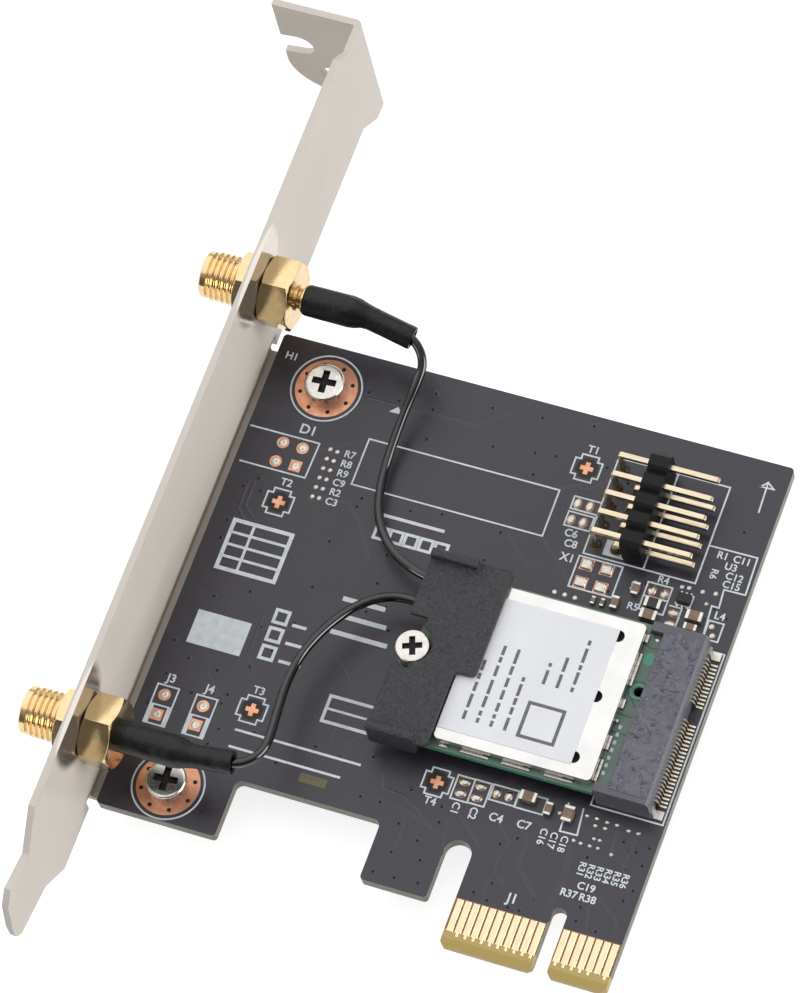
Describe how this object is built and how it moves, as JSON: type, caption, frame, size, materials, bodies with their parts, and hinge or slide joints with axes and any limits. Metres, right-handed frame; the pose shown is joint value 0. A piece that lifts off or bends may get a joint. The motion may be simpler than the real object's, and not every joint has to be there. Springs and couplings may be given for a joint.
{
  "type": "wireless network expansion card",
  "caption": "Expansion card with slot bracket, edge contacts, plug-in radio module under a shield can, coax leads to antenna jacks and a right-angle pin header.",
  "frame": {"origin": "On the centre line of the edge connector's key notch, at the lower edge of the contact tab, on the board's component face.", "axes": "X along the edge connector, away from the bracket. Y up the board, away from the edge contacts. Z out of the component face."},
  "size_m": [0.0781, 0.1201, 0.022],
  "materials": {
    "board_mask": "satin black solder mask on glass-epoxy board",
    "gold_plate": "polished gold plating",
    "bare_copper": "bare copper",
    "bracket_steel": "satin plated sheet steel",
    "screw_steel": "polished nickel-plated steel",
    "white_insulator": "smooth white fluoropolymer",
    "sleeve_black": "satin black heat-shrink",
    "lead_jacket": "gloss black cable jacket",
    "module_mask": "satin green solder mask",
    "shield_tin": "bright tin-plated sheet",
    "label_paper": "matte white label",
    "chip_epoxy": "matte moulded epoxy",
    "socket_plastic": "matte dark grey moulding",
    "pickup_film": "thin glossy dark film",
    "tin_plate": "bright tin plating",
    "clip_plastic": "fine-grained black moulding",
    "header_plastic": "satin dark grey moulding",
    "capacitor_ceramic": "matte beige ceramic",
    "resistor_black": "gloss black glaze"
  },
  "bodies": {
    "root": {"carrier_board": "board_mask", "edge_contacts_front": "gold_plate", "edge_contacts_back": "gold_plate", "mounting_pads": "bare_copper", "bracket": "bracket_steel", "bracket_screws": "screw_steel", "upper_jack_body": "gold_plate", "lower_jack_body": "gold_plate", "upper_jack_insulator": "white_insulator", "lower_jack_insulator": "white_insulator", "upper_jack_pin": "gold_plate", "lower_jack_pin": "gold_plate", "upper_jack_washer": "gold_plate", "lower_jack_washer": "gold_plate", "upper_jack_nut": "gold_plate", "lower_jack_nut": "gold_plate", "upper_sleeve": "sleeve_black", "lower_sleeve": "sleeve_black", "upper_coax_lead": "lead_jacket", "lower_coax_lead": "lead_jacket", "upper_coax_plug": "gold_plate", "lower_coax_plug": "gold_plate", "antenna_receptacles": "gold_plate", "module_board": "module_mask", "shield_can": "shield_tin", "shield_label": "label_paper", "radio_chip": "chip_epoxy", "front_end_chips": "chip_epoxy", "module_crystal": "shield_tin", "socket_housing": "socket_plastic", "socket_contacts_rear": "tin_plate", "socket_contacts_front": "tin_plate", "socket_anchors": "tin_plate", "pickup_film": "pickup_film", "standoff": "tin_plate", "module_screw": "screw_steel", "antenna_clip": "clip_plastic", "header_housing": "header_plastic", "header_pins_upper": "gold_plate", "header_pins_lower": "gold_plate", "capacitor_bodies": "capacitor_ceramic", "capacitor_ends": "tin_plate", "resistor_bodies": "resistor_black", "resistor_ends": "tin_plate", "regulator_body": "chip_epoxy", "regulator_leads": "tin_plate", "solder_pads": "tin_plate"}
  },
  "joints": []
}
